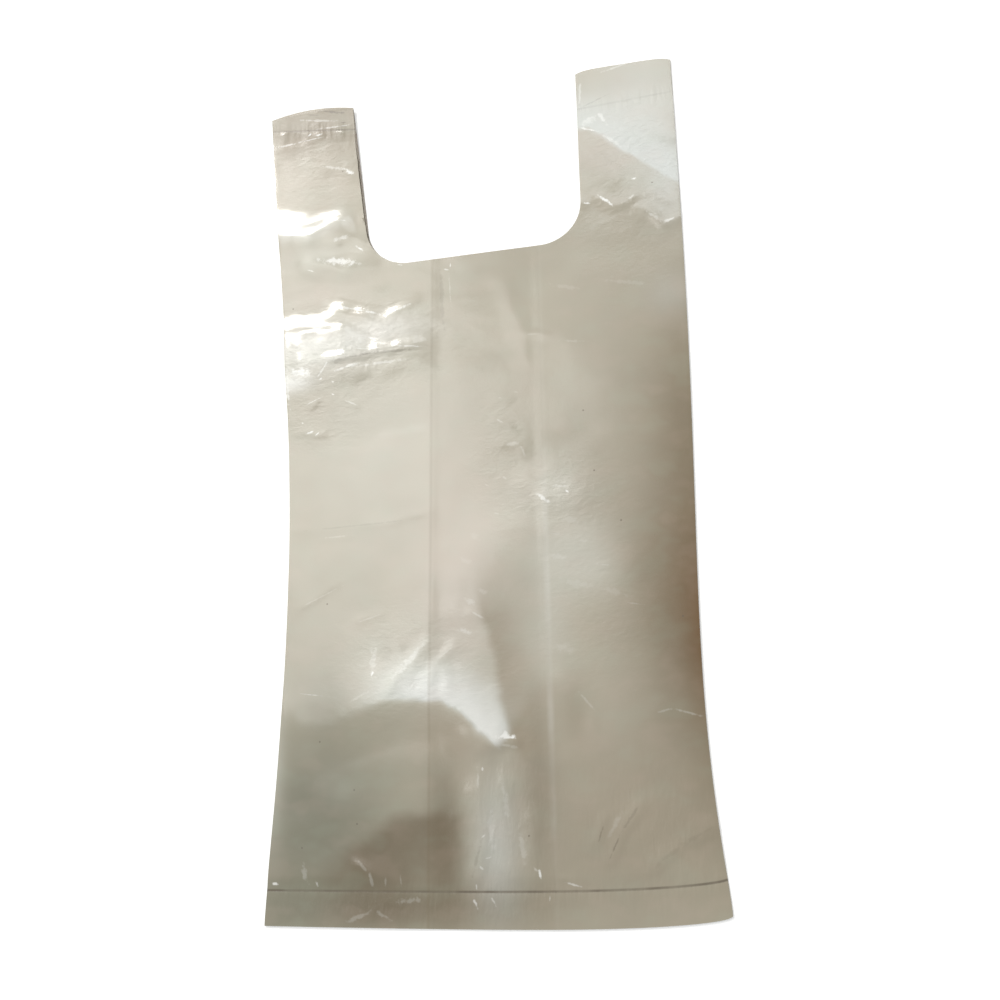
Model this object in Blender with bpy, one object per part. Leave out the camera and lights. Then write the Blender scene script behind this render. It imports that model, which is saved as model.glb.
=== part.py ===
"""A plastic carrier bag lying flat: a tube of film with its sides folded in, welded at its ends.

X runs across the bag, Y from the bottom to the handles, and Z up from the surface it lies on.
The origin is under the middle of the bag. Sizes are in metres.
"""

import math

import bmesh
import bpy

# The tube of film, folded flat
LAY_FLAT_WIDTH = 0.210
BAG_LENGTH = 0.406
LEFT_GUSSET_DEPTH = 0.077
RIGHT_GUSSET_DEPTH = 0.0755
LEFT_GUSSET_LEAN = 0.011
RIGHT_GUSSET_LEAN = 0.0065

# Film and the space between two layers of it, thicker than real film so that it stays solid
FILM = 0.0003
LAYER_GAP = 0.00035
PITCH = FILM + LAYER_GAP
FOLD_RADIUS = PITCH / 2

# Levels of the middle of each layer
BACK_LEVEL = FILM / 2
GUSSET_BACK_LEVEL = BACK_LEVEL + PITCH
GUSSET_FRONT_LEVEL = GUSSET_BACK_LEVEL + PITCH
FRONT_LEVEL = GUSSET_FRONT_LEVEL + PITCH

# The front sinks between the gussets, where there are only two layers
CENTRE_DIP = 2 * PITCH
DIP_RUN = 0.010
DIP_CLEARANCE = 0.001

# The side folds have crept in: how far, where along the bag, and how sharply
LEFT_WAIST = 0.0107
LEFT_WAIST_PLACE = 0.46
LEFT_WAIST_POWER = 1.3
RIGHT_WAIST = 0.0055
RIGHT_WAIST_PLACE = 0.245
RIGHT_WAIST_POWER = 3.0

# The cut edges bow outwards a little
BOTTOM_SAG = 0.0043
BOTTOM_SAG_PLACE = 0.72
BOTTOM_SAG_POWER = 0.45
LEFT_HANDLE_CROWN = 0.0035
RIGHT_HANDLE_CROWN = 0.0018
BOW_REACH = 0.10

# Handles, measured in from the sides of the lay-flat width, and the mouth between them
LEFT_HANDLE_TOP = 0.045
LEFT_HANDLE_FOOT = 0.054
RIGHT_HANDLE_TOP = 0.0478
RIGHT_HANDLE_FOOT = 0.0486
MOUTH_DEPTH = 0.0905
MOUTH_CORNER_RADIUS = 0.021
MOUTH_CORNER_STEPS = 7
CUTTER_MARGIN = 0.01

# Welds: distance in from the cut edge, and width of the seam
BOTTOM_WELD_INSET = 0.0155
LEFT_WELD_INSET = 0.0065
LEFT_WELD_SLANT = 0.0056
RIGHT_WELD_INSET = 0.0175
RIGHT_WELD_SLANT = -0.002
WELD_WIDTH = 0.0015
WELD_OVERLAP = 0.00015
WELD_STAGGER = 0.0006

# Soft folds that lift the front: (points of the crest, height, half width)
# Points are (x from the left side, y from the bottom)
FRONT_FOLDS = (
    (((0.004, 0.343), (0.036, 0.339)), 0.0022, 0.007),
    (((0.030, 0.318), (0.060, 0.313)), 0.0016, 0.006),
    (((0.008, 0.278), (0.044, 0.279)), 0.0030, 0.011),
    (((0.044, 0.290), (0.084, 0.284)), 0.0016, 0.008),
    (((0.020, 0.261), (0.078, 0.262)), 0.0014, 0.007),
    (((0.018, 0.178), (0.082, 0.180)), 0.0012, 0.008),
    (((0.040, 0.100), (0.080, 0.101), (0.100, 0.095), (0.120, 0.076)), 0.0030, 0.012),
    (((0.112, 0.070), (0.109, 0.025)), 0.0020, 0.012),
    (((0.166, 0.376), (0.182, 0.366), (0.204, 0.338)), 0.0026, 0.009),
    (((0.164, 0.331), (0.186, 0.330), (0.203, 0.314)), 0.0014, 0.006),
    (((0.142, 0.186), (0.162, 0.158)), 0.0014, 0.009),
    (((0.178, 0.037), (0.206, 0.021)), 0.0018, 0.008),
)
HIGHEST_LIFT = 0.0033
SIDE_EASE = 0.012
WELD_EASE = 0.012

# How finely the tube is divided
ROWS = 42
FRONT_COLUMNS = 26
BACK_COLUMNS = 4

FILM_COLOUR = (0.60, 0.55, 0.44, 1.0)
FILM_ROUGHNESS = 0.3

LEFT = -LAY_FLAT_WIDTH / 2
RIGHT = LAY_FLAT_WIDTH / 2
MOUTH_Y = BAG_LENGTH - MOUTH_DEPTH


def ease(value):
    """Rises smoothly from 0 to 1 as the value does."""
    value = min(max(value, 0.0), 1.0)
    return value * value * (3 - 2 * value)


def bow(share, size, place, power):
    """A single rounded bulge along a run from 0 to 1, highest at place."""
    share = min(max(share, 0.0), 1.0)
    shifted = share ** (math.log(0.5) / math.log(place))
    return size * max(math.sin(math.pi * shifted), 0.0) ** power


def left_side(y):
    """Where the left side fold is at this distance from the bottom."""
    return LEFT + bow(y / BAG_LENGTH, LEFT_WAIST, LEFT_WAIST_PLACE, LEFT_WAIST_POWER)


def right_side(y):
    """Where the right side fold is at this distance from the bottom."""
    return RIGHT - bow(y / BAG_LENGTH, RIGHT_WAIST, RIGHT_WAIST_PLACE, RIGHT_WAIST_POWER)


def left_gusset_fold(y):
    """The inner fold of the left gusset, which runs a little askew."""
    return LEFT + LEFT_GUSSET_DEPTH + LEFT_GUSSET_LEAN * y / BAG_LENGTH


def right_gusset_fold(y):
    """The inner fold of the right gusset, which runs a little askew."""
    return RIGHT - RIGHT_GUSSET_DEPTH + RIGHT_GUSSET_LEAN * y / BAG_LENGTH


def bottom_edge(x):
    """How far the bottom edge hangs below a straight cut."""
    share = (x - LEFT) / LAY_FLAT_WIDTH
    return -bow(share, BOTTOM_SAG, BOTTOM_SAG_PLACE, BOTTOM_SAG_POWER)


def top_edge(x):
    """How far the top of each handle rises above a straight cut."""
    if x < 0:
        middle, half, crown = LEFT + LEFT_HANDLE_TOP / 2, LEFT_HANDLE_TOP / 2, LEFT_HANDLE_CROWN
    else:
        middle, half, crown = RIGHT - RIGHT_HANDLE_TOP / 2, RIGHT_HANDLE_TOP / 2, RIGHT_HANDLE_CROWN
    offset = min(abs(x - middle) / half, 1.0)
    return crown * (1 - offset * offset)


def bowed(x, y):
    """The y of a point of the film once its cut edges are bowed."""
    near_bottom = ease(1 - y / BOW_REACH)
    near_top = ease(1 - (BAG_LENGTH - y) / BOW_REACH)
    return y + bottom_edge(x) * near_bottom + top_edge(x) * near_top


def left_weld(x):
    """The weld across the left handle, which slants down towards the mouth."""
    return BAG_LENGTH - LEFT_WELD_INSET - LEFT_WELD_SLANT * (x - LEFT) / LEFT_HANDLE_TOP


def right_weld(x):
    """The weld across the right handle."""
    return BAG_LENGTH - RIGHT_WELD_INSET - RIGHT_WELD_SLANT * (x - RIGHT) / RIGHT_HANDLE_TOP


def bottom_weld(x):
    """The weld across the bottom, straight in the unbowed film."""
    return BOTTOM_WELD_INSET


def distance_to_line(point, line):
    """The shortest distance from a point to a run of straight pieces."""
    nearest = math.inf
    for (ax, ay), (bx, by) in zip(line, line[1:]):
        run_x, run_y = bx - ax, by - ay
        along = (point[0] - ax) * run_x + (point[1] - ay) * run_y
        along = min(max(along / (run_x * run_x + run_y * run_y), 0.0), 1.0)
        nearest = min(nearest, math.hypot(point[0] - ax - along * run_x, point[1] - ay - along * run_y))
    return nearest


def lift(x, y):
    """How far the front's folds raise it. They die out at the side folds and the welds."""
    total = 0.0
    for line, height, half_width in FRONT_FOLDS:
        away = distance_to_line((x - LEFT, y), line) / half_width
        total += height * math.exp(-away * away)
    total = HIGHEST_LIFT * math.tanh(total / HIGHEST_LIFT)
    sides = ease((x - left_side(y)) / SIDE_EASE) * ease((right_side(y) - x) / SIDE_EASE)
    top_weld = left_weld(x) if x < 0 else right_weld(x)
    welds = ease((y - bottom_weld(x)) / WELD_EASE) * ease((top_weld - y) / WELD_EASE)
    return total * sides * welds


def front_level(x, y):
    """The middle of the front film."""
    past_left = ease((x - left_gusset_fold(y) - DIP_CLEARANCE) / DIP_RUN)
    past_right = ease((right_gusset_fold(y) - DIP_CLEARANCE - x) / DIP_RUN)
    return FRONT_LEVEL - CENTRE_DIP * past_left * past_right + lift(x, y)


def spread(start, end, steps):
    """Evenly spaced values from start to end, both included."""
    return [start + (end - start) * i / steps for i in range(steps + 1)]


def front_points(y):
    """The front of the section, from left to right, as (x, z)."""
    start = left_side(y) + FOLD_RADIUS
    end = right_side(y) - FOLD_RADIUS
    return [(x, front_level(x, y)) for x in spread(start, end, FRONT_COLUMNS)]


def section(y):
    """The middle of the film all round the folded tube, as (x, z)."""
    left, right = left_side(y), right_side(y)
    inner_left, inner_right = left_gusset_fold(y), right_gusset_fold(y)
    gusset_middle = (GUSSET_BACK_LEVEL + GUSSET_FRONT_LEVEL) / 2
    back = [
        (x, BACK_LEVEL)
        for x in spread(left + FOLD_RADIUS, right - FOLD_RADIUS, BACK_COLUMNS)
    ]
    right_gusset = [
        (right, BACK_LEVEL + FOLD_RADIUS),
        (right - FOLD_RADIUS, GUSSET_BACK_LEVEL),
        (inner_right + FOLD_RADIUS, GUSSET_BACK_LEVEL),
        (inner_right, gusset_middle),
        (inner_right + FOLD_RADIUS, GUSSET_FRONT_LEVEL),
        (right - FOLD_RADIUS, GUSSET_FRONT_LEVEL),
        (right, GUSSET_FRONT_LEVEL + FOLD_RADIUS),
    ]
    left_gusset = [
        (left, GUSSET_FRONT_LEVEL + FOLD_RADIUS),
        (left + FOLD_RADIUS, GUSSET_FRONT_LEVEL),
        (inner_left - FOLD_RADIUS, GUSSET_FRONT_LEVEL),
        (inner_left, gusset_middle),
        (inner_left - FOLD_RADIUS, GUSSET_BACK_LEVEL),
        (left + FOLD_RADIUS, GUSSET_BACK_LEVEL),
        (left, BACK_LEVEL + FOLD_RADIUS),
    ]
    return back + right_gusset + front_points(y)[::-1] + left_gusset


def new_object(name, mesh_editor):
    """Turns a finished bmesh into an object in the scene."""
    bmesh.ops.recalc_face_normals(mesh_editor, faces=mesh_editor.faces)
    mesh = bpy.data.meshes.new(name)
    mesh_editor.to_mesh(mesh)
    mesh_editor.free()
    thing = bpy.data.objects.new(name, mesh)
    bpy.context.scene.collection.objects.link(thing)
    return thing


def as_guide(thing):
    """Marks an object that only cuts or joins another."""
    thing.hide_render = True
    thing.display_type = "WIRE"
    return thing


def bridge(mesh_editor, old_ring, new_ring):
    """Joins two rings of as many points with one face for each side."""
    for i in range(len(new_ring)):
        j = (i + 1) % len(new_ring)
        mesh_editor.faces.new((old_ring[i], old_ring[j], new_ring[j], new_ring[i]))


def film_tube():
    """The folded tube as a surface: one closed ring of film for each row, bridged to the next."""
    tube = bmesh.new()
    rings = [
        [tube.verts.new((x, bowed(x, y), z)) for x, z in section(y)]
        for y in spread(0.0, BAG_LENGTH, ROWS)
    ]
    for old_ring, new_ring in zip(rings, rings[1:]):
        bridge(tube, old_ring, new_ring)
    return new_object("carrier_bag", tube)


def weld_ring(bar, x, middle, top):
    """The four corners of a seam at one place across the bag."""
    near, far = middle - WELD_WIDTH / 2, middle + WELD_WIDTH / 2
    corners = ((near, BACK_LEVEL), (far, BACK_LEVEL), (far, top), (near, top))
    return [bar.verts.new((x, bowed(x, y), level)) for y, level in corners]


def weld_bar(name, weld, columns):
    """A seam that fuses every layer between the back and the front along one weld line."""
    bar = bmesh.new()
    rings = [weld_ring(bar, x, weld(x), top) for x, top in columns]
    for old_ring, new_ring in zip(rings, rings[1:]):
        bridge(bar, old_ring, new_ring)
    bar.faces.new(rings[0])
    bar.faces.new(rings[-1])
    return as_guide(new_object(name, bar))


def weld_columns(y):
    """The places across the bag at which a weld follows the front, from side fold to side fold."""
    points = front_points(y)
    first_x, first_z = points[0]
    last_x, last_z = points[-1]
    between = [(x + WELD_STAGGER, z) for x, z in points[1:-1]]
    return [(first_x - WELD_OVERLAP, first_z)] + between + [(last_x + WELD_OVERLAP, last_z)]


def fillet(before, corner, after, radius, steps):
    """The arc that rounds one corner of an outline, as a list of points."""
    ux, uy = before[0] - corner[0], before[1] - corner[1]
    vx, vy = after[0] - corner[0], after[1] - corner[1]
    u_length, v_length = math.hypot(ux, uy), math.hypot(vx, vy)
    ux, uy, vx, vy = ux / u_length, uy / u_length, vx / v_length, vy / v_length
    half_angle = math.acos(ux * vx + uy * vy) / 2
    to_centre = radius / math.sin(half_angle)
    bisector = math.hypot(ux + vx, uy + vy)
    centre_x = corner[0] + (ux + vx) / bisector * to_centre
    centre_y = corner[1] + (uy + vy) / bisector * to_centre
    reach = radius / math.tan(half_angle)
    start = math.atan2(corner[1] + uy * reach - centre_y, corner[0] + ux * reach - centre_x)
    end = math.atan2(corner[1] + vy * reach - centre_y, corner[0] + vx * reach - centre_x)
    turn = (end - start + math.pi) % (2 * math.pi) - math.pi
    return [
        (centre_x + radius * math.cos(start + turn * i / steps),
         centre_y + radius * math.sin(start + turn * i / steps))
        for i in range(steps + 1)
    ]


def mouth_outline():
    """The U cut through all layers, from the left handle's top round to the right handle's."""
    top_y = BAG_LENGTH + CUTTER_MARGIN
    rise = top_y - MOUTH_Y
    left_run = (LEFT_HANDLE_TOP - LEFT_HANDLE_FOOT) / MOUTH_DEPTH
    right_run = (RIGHT_HANDLE_TOP - RIGHT_HANDLE_FOOT) / MOUTH_DEPTH
    left_foot = (LEFT + LEFT_HANDLE_FOOT, MOUTH_Y)
    right_foot = (RIGHT - RIGHT_HANDLE_FOOT, MOUTH_Y)
    left_top = (left_foot[0] + left_run * rise, top_y)
    right_top = (right_foot[0] - right_run * rise, top_y)
    left_corner = fillet(left_top, left_foot, right_foot, MOUTH_CORNER_RADIUS, MOUTH_CORNER_STEPS)
    right_corner = fillet(left_foot, right_foot, right_top, MOUTH_CORNER_RADIUS, MOUTH_CORNER_STEPS)
    return [left_top] + left_corner + right_corner + [right_top]


def mouth_cutter():
    """A block of the mouth's outline, taller than the bag is thick."""
    cutter = bmesh.new()
    floor = [cutter.verts.new((x, y, -CUTTER_MARGIN)) for x, y in mouth_outline()]
    base = cutter.faces.new(floor)
    grown = bmesh.ops.extrude_face_region(cutter, geom=[base])["geom"]
    roof = [v for v in grown if isinstance(v, bmesh.types.BMVert)]
    bmesh.ops.translate(cutter, verts=roof, vec=(0, 0, 2 * CUTTER_MARGIN + FRONT_LEVEL + HIGHEST_LIFT))
    return as_guide(new_object("mouth_cutter", cutter))


def combine(thing, other, operation):
    """Adds an exact Boolean with a guide object."""
    modifier = thing.modifiers.new(other.name, "BOOLEAN")
    modifier.operation = operation
    modifier.solver = "EXACT"
    modifier.object = other


def film_material():
    """Milky, glossy beige film."""
    material = bpy.data.materials.new("film")
    material.use_nodes = True
    shader = material.node_tree.nodes["Principled BSDF"]
    shader.inputs["Base Color"].default_value = FILM_COLOUR
    shader.inputs["Roughness"].default_value = FILM_ROUGHNESS
    shader.inputs["Metallic"].default_value = 0.0
    return material


def centre_on_origin(things):
    """Moves the model so that the origin is under the middle of its outline."""
    ys = [v.co.y for v in things[0].data.vertices]
    shift = -(min(ys) + max(ys)) / 2
    for thing in things:
        thing.location.y = shift


def build():
    for old in list(bpy.data.objects):
        bpy.data.objects.remove(old)
    bag = film_tube()
    bag.data.materials.append(film_material())
    thicken = bag.modifiers.new("film_thickness", "SOLIDIFY")
    thicken.thickness = FILM
    thicken.offset = 0.0
    thicken.use_even_offset = True
    left_y = BAG_LENGTH - LEFT_WELD_INSET
    right_y = BAG_LENGTH - RIGHT_WELD_INSET
    left_reach = LEFT + LEFT_HANDLE_TOP + CUTTER_MARGIN
    right_reach = RIGHT - RIGHT_HANDLE_TOP - CUTTER_MARGIN
    bars = (
        weld_bar("bottom_weld", bottom_weld, weld_columns(BOTTOM_WELD_INSET)),
        weld_bar("left_weld", left_weld, [c for c in weld_columns(left_y) if c[0] < left_reach]),
        weld_bar("right_weld", right_weld, [c for c in weld_columns(right_y) if c[0] > right_reach]),
    )
    for bar in bars:
        combine(bag, bar, "UNION")
    cutter = mouth_cutter()
    combine(bag, cutter, "DIFFERENCE")
    centre_on_origin((bag, cutter) + bars)


build()
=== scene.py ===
"""A thin plastic carrier bag lying flat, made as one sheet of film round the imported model.

Sizes are in metres, in the part's own frame: X across the bag, Y towards the handles, Z up.
Folds and tones are placed in millimetres from the bag's left side and from its bottom cut.
"""

import math

import bmesh
import bpy
import numpy as np
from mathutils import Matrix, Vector, noise


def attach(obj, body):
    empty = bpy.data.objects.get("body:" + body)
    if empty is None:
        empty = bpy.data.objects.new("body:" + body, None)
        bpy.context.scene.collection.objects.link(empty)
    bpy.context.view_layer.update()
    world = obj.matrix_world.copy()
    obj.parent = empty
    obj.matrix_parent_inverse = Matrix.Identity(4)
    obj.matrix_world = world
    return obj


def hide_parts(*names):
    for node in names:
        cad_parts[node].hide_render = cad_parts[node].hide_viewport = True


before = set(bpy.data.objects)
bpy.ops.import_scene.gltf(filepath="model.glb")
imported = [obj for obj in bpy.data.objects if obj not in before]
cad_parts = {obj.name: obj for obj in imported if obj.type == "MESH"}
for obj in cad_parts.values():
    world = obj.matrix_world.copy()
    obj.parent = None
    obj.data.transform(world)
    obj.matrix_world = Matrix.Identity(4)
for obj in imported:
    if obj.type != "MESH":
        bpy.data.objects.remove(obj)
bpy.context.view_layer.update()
MM = 0.001

# The tube of film, folded flat
LAY_FLAT_WIDTH = 0.210
BAG_LENGTH = 0.406
LEFT = -LAY_FLAT_WIDTH / 2
RIGHT = LAY_FLAT_WIDTH / 2
LEFT_GUSSET_DEPTH = 0.077
RIGHT_GUSSET_DEPTH = 0.0755
LEFT_GUSSET_LEAN = 0.011
RIGHT_GUSSET_LEAN = 0.0065
BOTTOM_CUT = -0.202588

# The film and its layers, which almost touch and are pressed together at the welds
FILM = 0.00012
PITCH = 0.00026
WELDED_PITCH = 0.00022
WELD_PINCH_REACH = 0.012
FRONT_SLACK = 0.00035
FOLD_RADIUS = 0.00022
CENTRE_DIP = 0.4
DIP_RUN = 0.004
DIP_CLEARANCE = 0.0006

# The back film isn't quite flat: (length across, length along, seed) and height in millimetres
BACK_WAVES = (60, 45, 12.5)
BACK_LIFT = 0.25

# The side folds have crept in, and the cut edges bow outwards
LEFT_WAIST = (0.0107, 0.46, 1.3)
RIGHT_WAIST = (0.0055, 0.245, 3.0)
BOTTOM_SAG = (0.0043, 0.72, 0.45)
LEFT_HANDLE_CROWN = 0.0027
RIGHT_HANDLE_CROWN = 0.0018
BOW_REACH = 0.10

# Handles, measured in from the sides of the lay-flat width, and the mouth between them
LEFT_HANDLE_TOP = 0.045
LEFT_HANDLE_FOOT = 0.054
RIGHT_HANDLE_TOP = 0.0478
RIGHT_HANDLE_FOOT = 0.0486
MOUTH_DEPTH = 0.0905
MOUTH_CORNER_RADIUS = 0.021
MOUTH_CORNER_STEPS = 16
MOUTH_RISE = 0.02
MOUTH_Y = BAG_LENGTH - MOUTH_DEPTH

# How far the left handle's front layers lie back from its inner cut
SET_BACK = 0.0011

# The welds, measured in from the cut edges
BOTTOM_WELD_INSET = 0.0155
LEFT_WELD_INSET = 0.0065
LEFT_WELD_SLANT = 0.0056
RIGHT_WELD_INSET = 0.0175
RIGHT_WELD_SLANT = -0.002

# How finely the film is divided. The columns are shares of the way across a layer, packed where the
# mouth's round corners cut it.
ROW_STEP = 0.0016
FINE_ROW_STEP = 0.0009
FRONT_COLUMNS = tuple(i / 128 for i in range(129))
BACK_COLUMNS = (
    0, 0.12, 0.21, 0.24, 0.265, 0.29, 0.32, 0.36, 0.5,
    0.65, 0.69, 0.715, 0.74, 0.765, 0.79, 0.88, 1,
)
LEFT_GUSSET_COLUMNS = (0, 0.5, 0.6, 0.66, 0.73, 0.81, 0.9, 1)
RIGHT_GUSSET_COLUMNS = (0, 0.35, 0.64, 0.70, 0.76, 0.82, 0.9, 1)

# What a fold is like in section: straight flanks, a sharp crest with hollow flanks, or round
FACET = "facet"
SHARP = "sharp"
SOFT = "soft"

# The end of the left handle lifts a little off the floor: how far, and over what length
TIP_LIFT = 1.7
TIP_LENGTH = 56

# Folds of the front film, in millimetres: (section, height, reach on the left of the crest, reach
# on its right, fade at its start, fade at its end, points of the crest)
FOLDS = (
    # Left handle
    (SHARP, 0.12, 6, 3, 6, 6, ((-2, 389.5), (15, 391.5), (30, 393))),
    (FACET, 1.5, 14, 20, 12, 24, ((-14, 343), (4, 341), (20, 337.5), (44, 339))),
    (FACET, 0.6, 7, 14, 10, 8, ((10, 338), (22, 338), (32, 341), (44, 344.5))),
    (FACET, 0.45, 7, 8, 12, 8, ((22, 330), (44, 332.5), (56, 328))),
    (FACET, 0.8, 8, 9, 8, 20, ((14, 323), (37, 317.5), (60, 314))),
    (FACET, 0.25, 3, 3, 3, 3, ((17, 318.5), (27, 315))),
    # Upper left of the body
    (FACET, 0.8, 7, 7, 8, 18, ((26, 297), (44, 291.5), (58, 287), (68, 289), (80, 295))),
    (FACET, 0.2, 5, 5, 9, 9, ((38, 280.5), (44, 279.5), (54, 276.5), (64, 271.5))),
    (FACET, 2.5, 18, 45, 24, 56, ((-30, 268.5), (20, 268), (54, 270), (86, 269))),
    (FACET, 1.35, 11, 30, 12, 16, ((-20, 284.5), (20, 283.5), (54, 284))),
    (FACET, 0.6, 5, 3, 8, 8, ((28, 267), (40, 269.5), (55, 270), (82, 269))),
    (FACET, 0.3, 5, 8, 12, 12, ((26, 258.5), (42, 262), (56, 261.5), (84, 263.5))),
    (FACET, 0.6, 6, 18, 6, 10, ((-4, 260.5), (12, 258.5), (30, 260.5))),
    (SHARP, 0.3, 4, 3, 4, 4, ((18, 244.5), (29, 249.5))),
    (SHARP, 0.3, 4, 3, 4, 4, ((37, 247.5), (50, 241))),
    (FACET, 0.3, 4, 3, 3, 3, ((12, 230.5), (22, 232), (31, 229))),
    # Left middle
    (SHARP, 0.2, 5, 3, 10, 10, ((4, 181.5), (47, 182), (84, 185))),
    (SHARP, 0.2, 4, 3, 5, 5, ((22, 176.5), (48, 178))),
    (SHARP, 0.2, 5, 3, 6, 6, ((12, 142), (24, 148), (40, 155))),
    (SHARP, 0.2, 4, 3, 5, 5, ((42, 134), (60, 140))),
    (FACET, 0.25, 5, 8, 8, 8, ((56, 101), (69, 113.5), (84, 129))),
    (FACET, 0.15, 5, 7, 6, 6, ((51, 102), (54, 116), (54, 130))),
    (FACET, 0.25, 4, 4, 4, 4, ((81, 114), (96, 124))),
    (SOFT, 1.3, 24, 22, 60, 8,
     ((4, 80), (34, 90), (50, 95), (62, 97), (74, 96.5), (86, 96.5), (97, 90), (106, 80),
      (114, 74))),
    (FACET, 0.12, 4, 3, 3, 3, ((98, 138), (108, 132))),
    (FACET, 0.6, 5, 3, 3, 3, ((108, 78), (123, 76.5))),
    # Centre and right of the body
    (FACET, 0.12, 7, 9, 16, 16, ((119, 306), (127, 277), (135, 240))),
    (SHARP, 0.15, 3, 3, 5, 5, ((126, 271), (146, 268))),
    (FACET, 0.08, 3, 3, 3, 3, ((112, 240.5), (123, 238))),
    (FACET, 0.1, 3, 3, 3, 3, ((111, 230.5), (124, 224))),
    (FACET, 0.18, 6, 5, 8, 6, ((110, 216), (126, 215.5), (130, 207))),
    (FACET, 0.3, 10, 8, 8, 8, ((124, 203), (138, 188), (160, 181))),
    (FACET, 0.2, 5, 5, 6, 6, ((138, 108), (148, 97), (156, 89), (153, 76))),
    (FACET, 0.22, 7, 5, 6, 6, ((178, 85), (190, 87.5), (210, 81))),
    (SHARP, 0.15, 3, 2, 2, 2, ((159, 155), (167, 153))),
    (SHARP, 0.15, 3, 2, 2, 2, ((174, 136), (180, 134))),
    # Right handle
    (SHARP, 0.25, 5, 6, 6, 6, ((158, 387), (175, 391), (185, 392.5), (214, 391))),
    (SHARP, -1.9, 26, 14, 8, 8,
     ((154, 377), (166, 376), (174, 371), (182, 362), (195, 350), (220, 334))),
    (FACET, 0.6, 5, 4, 4, 4, ((160, 375), (168, 384), (174, 375))),
    (FACET, 0.3, 3, 3, 3, 3, ((160, 333.5), (167, 334.5))),
    (SHARP, 0.3, 5, 5, 3, 3, ((168, 339), (178, 331), (184, 332), (190, 336))),
    (SHARP, 0.5, 9, 7, 4, 4, ((186, 329), (195, 322), (201, 317), (214, 321.5))),
    (SHARP, 0.25, 2, 2, 2, 2, ((186, 344.5), (191, 344))),
    # Bottom
    (FACET, 0.3, 3, 3, 4, 4, ((43, 28), (50, 22), (52, 14))),
    (FACET, 0.6, 6, 6, 8, 8, ((106, 72), (102, 56), (104, 36), (98, 8))),
    (FACET, 0.5, 6, 7, 8, 8, ((112, 66), (114, 40), (119, 10))),
    (FACET, 0.4, 5, 5, 6, 6, ((127, 50), (125, 26), (129, 8))),
    (SHARP, 0.3, 4, 4, 4, 4, ((92, 50), (90, 28), (92, 10))),
    (SHARP, 0.3, 3, 3, 4, 4, ((136, 17), (149, 12))),
    (FACET, 0.3, 4, 1.5, 4, 4, ((153, 27), (155.8, 34.7), (160, 45))),
    (FACET, 0.4, 6, 1.5, 4, 4, ((158, 20), (165, 35.5), (176, 50))),
    (FACET, 0.4, 7, 4, 6, 6, ((176, 18), (181, 23), (191, 30.5), (210, 40))),
)

# The folds are never quite straight: (how far they stray, over what length, seed)
WANDER = ((2.2, 26.0, 41.0), (0.9, 8.0, 47.0), (0.3, 3.6, 52.0))

# How much of the folds' height is left at the bag's sides, and beyond the welds
SIDE_SHARE = 0.75
SIDE_REACH = 0.010
FLAP_SHARE = 0.4

# How softly the front film settles on the layer under it, in millimetres
SETTLE = 0.12

# How far from a weld the film is pressed flat: on the body, on the flap beyond the weld, and on the
# handles, which start at this height in millimetres
BODY_PRESS = 0.007
FLAP_PRESS = 0.018
HANDLE_PRESS = 0.032
HANDLE_START = 300

# Puckers at the welds: (length across, length along, seed), height in millimetres, and reach
PUCKER_WAVES = (4.2, 18, 6.6)
PUCKER_HEIGHT = 0.36
PUCKER_REACH = 0.005
PUCKER_EDGE = 0.0015

# Broad swells of the front film: (height, length across, length along, seed)
SWELLS = ((0.4, 80, 55, 3.1), (0.14, 34, 22, 8.7), (0.035, 14, 10, 14.2))

# Where fine crinkles show: (height, length across the crinkle, length along it, turn in degrees,
# seed, middle, reach)
CRINKLES = (
    (0.10, 8, 26, 84, 1.3, (40, 300), (60, 50)),
    (0.05, 9, 30, 50, 5.9, (60, 125), (50, 40)),
    (0.20, 7, 34, 3, 2.4, (110, 32), (20, 42)),
    (0.05, 9, 28, -35, 7.7, (175, 40), (40, 40)),
    (0.06, 10, 22, 65, 9.2, (118, 210), (26, 60)),
    (0.08, 9, 22, -50, 4.6, (188, 350), (26, 40)),
)

# Colours of the film. The milky one is its own colour, and the pinkish, rosy and mossy ones are
# lighter and random tones of it. Others stand in for light. The pale one is painted sheen, the
# bluish one a painted reflection of a cool window, and the near-white one painted highlights and
# glints. The warm, brown, umber, tan, orange and greenish ones are painted shade where the film
# catches no sheen, with the brown seen through the film. The shaded one is painted shade on the
# layers inside. The dark one paints thin shadows as well as the welds and specks.
MILKY = (0.440, 0.398, 0.300)
PALE = (0.680, 0.665, 0.580)
BLUISH = (0.640, 0.665, 0.635)
PINKISH = (0.480, 0.415, 0.330)
WARM = (0.345, 0.288, 0.202)
BROWN = (0.150, 0.098, 0.032)
UMBER = (0.160, 0.120, 0.064)
TAN = (0.345, 0.285, 0.200)
ORANGE = (0.165, 0.080, 0.018)
GREENISH = (0.200, 0.192, 0.130)
SHADED = (0.170, 0.120, 0.075)
PAINTED_HIGHLIGHT = (0.920, 0.910, 0.860)
DARK = (0.130, 0.100, 0.065)
ROSY = (0.620, 0.460, 0.380)
MOSSY = (0.400, 0.500, 0.380)

# Mottling all over: (share, length across, length along, seed)
MOTTLES = ((0.03, 18, 13, 31.0), (0.04, 45, 60, 35.0))

# How much painted shade the layers that lie inside get, and how much of the front's tones the back
# has
HIDDEN_SHADE = 0.8
BACK_SHARE = 0.2
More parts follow.
